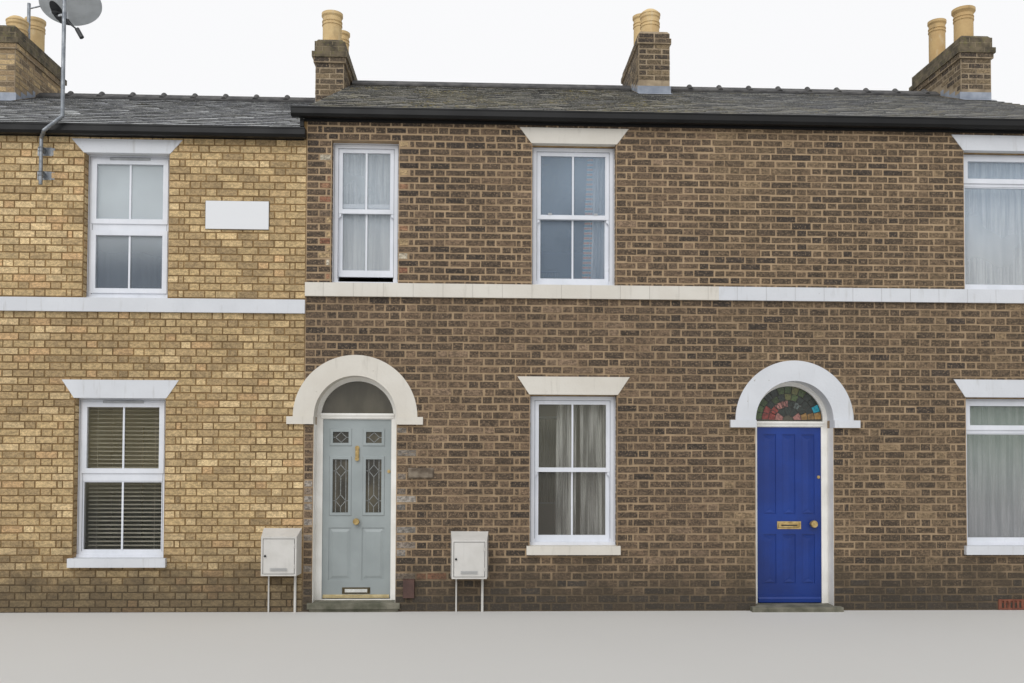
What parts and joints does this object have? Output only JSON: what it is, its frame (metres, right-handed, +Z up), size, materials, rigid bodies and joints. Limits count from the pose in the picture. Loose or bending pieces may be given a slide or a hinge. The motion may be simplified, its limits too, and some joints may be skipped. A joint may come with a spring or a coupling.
{
  "type": "terraced house row",
  "caption": "Row of brick terraced houses with slate roofs, chimneys, arched doorways and doors that open.",
  "frame": {"origin": "middle of the row's footprint at ground level, on the underside of the middle house's floor", "axes": "+X along the row to the right as seen from the street, +Y from the street into the houses, +Z up"},
  "size_m": [14.506, 7.848, 8.53],
  "materials": {
    "buff_brick": "matte",
    "brown_brick": "matte",
    "party_brick": "matte",
    "stack_brick": "matte",
    "buff_slate": "matte",
    "mossy_slate": "matte",
    "ridge_clay": "matte",
    "pot_clay": "matte",
    "black_plastic": "satin",
    "painted_stone": "matte",
    "step_stone": "matte",
    "floor_screed": "matte",
    "floor_boards": "matte",
    "white_frame": "satin",
    "window_glass": "polished",
    "fanlight_glass": "polished",
    "grey_paint": "satin",
    "blue_paint": "gloss",
    "door_paint": "satin",
    "brass": "polished",
    "meter_plastic": "satin",
    "terracotta": "matte",
    "wall_stone": "matte",
    "cable_plastic": "matte",
    "lead": "matte",
    "galvanised": "satin",
    "dish_paint": "satin"
  },
  "bodies": {
    "root": {"ground_floors": "floor_screed", "upper_floors": "floor_boards", "left_front_wall": "buff_brick", "door_piers": "brown_brick", "grey_door_bay": "brown_brick", "middle_front_wall": "brown_brick", "blue_door_bay": "brown_brick", "right_front_wall": "brown_brick", "left_rear_wall": "buff_brick", "brown_rear_wall": "brown_brick", "party_walls": "party_brick", "left_roof_front": "buff_slate", "left_roof_rear": "buff_slate", "brown_roof_front": "mossy_slate", "brown_roof_rear": "mossy_slate", "ridge_tiles": "ridge_clay", "lead_flashings": "lead", "chimney_stack_1": "stack_brick", "chimney_stack_2": "stack_brick", "chimney_stack_3": "stack_brick", "chimney_stack_4": "stack_brick", "chimney_pots_1": "pot_clay", "chimney_pots_2": "pot_clay", "chimney_pots_3": "pot_clay", "chimney_pots_4": "pot_clay", "fascia_boards": "black_plastic", "buff_gutters": "black_plastic", "brown_gutters": "black_plastic", "string_courses": "painted_stone", "window_lintels": "painted_stone", "window_sills": "painted_stone", "left_door_arch": "painted_stone", "grey_door_arch": "painted_stone", "blue_door_arch": "painted_stone", "door_steps": "step_stone", "left_door_frame": "white_frame", "grey_door_frame": "white_frame", "blue_door_frame": "white_frame", "fanlights": "fanlight_glass", "left_doors": "door_paint", "left_windows": "white_frame", "middle_windows": "white_frame", "right_windows": "white_frame", "window_glass": "window_glass", "meter_boxes": "meter_plastic", "wall_stones": "wall_stone", "cable_box": "cable_plastic", "air_brick": "terracotta", "aerial_mast": "galvanised", "dish": "dish_paint", "chimney_aerial_pole": "galvanised"},
    "grey_door": {"grey_door": "grey_paint", "grey_door_glass": "fanlight_glass", "grey_door_fittings": "brass"},
    "blue_door": {"blue_door": "blue_paint", "blue_door_fittings": "brass"},
    "left_meter_door": {"left_meter_door": "meter_plastic"},
    "right_meter_door": {"right_meter_door": "meter_plastic"}
  },
  "joints": [
    {"name": "grey_door_hinge", "type": "hinge", "parent": "root", "child": "grey_door", "pos_m": [-1.9617, -3.4977, 1], "axis": [0, 0, 1], "range_deg": [0, 90]},
    {"name": "blue_door_hinge", "type": "hinge", "parent": "root", "child": "blue_door", "pos_m": [2.8563, -3.4977, 1], "axis": [0, 0, 1], "range_deg": [0, 90]},
    {"name": "left_meter_hinge", "type": "hinge", "parent": "root", "child": "left_meter_door", "pos_m": [-2.184, -3.9453, 0.6], "axis": [0, 0, 1], "range_deg": [0, 100]},
    {"name": "right_meter_hinge", "type": "hinge", "parent": "root", "child": "right_meter_door", "pos_m": [-0.18, -3.9453, 0.6], "axis": [0, 0, 1], "range_deg": [0, 100]}
  ]
}
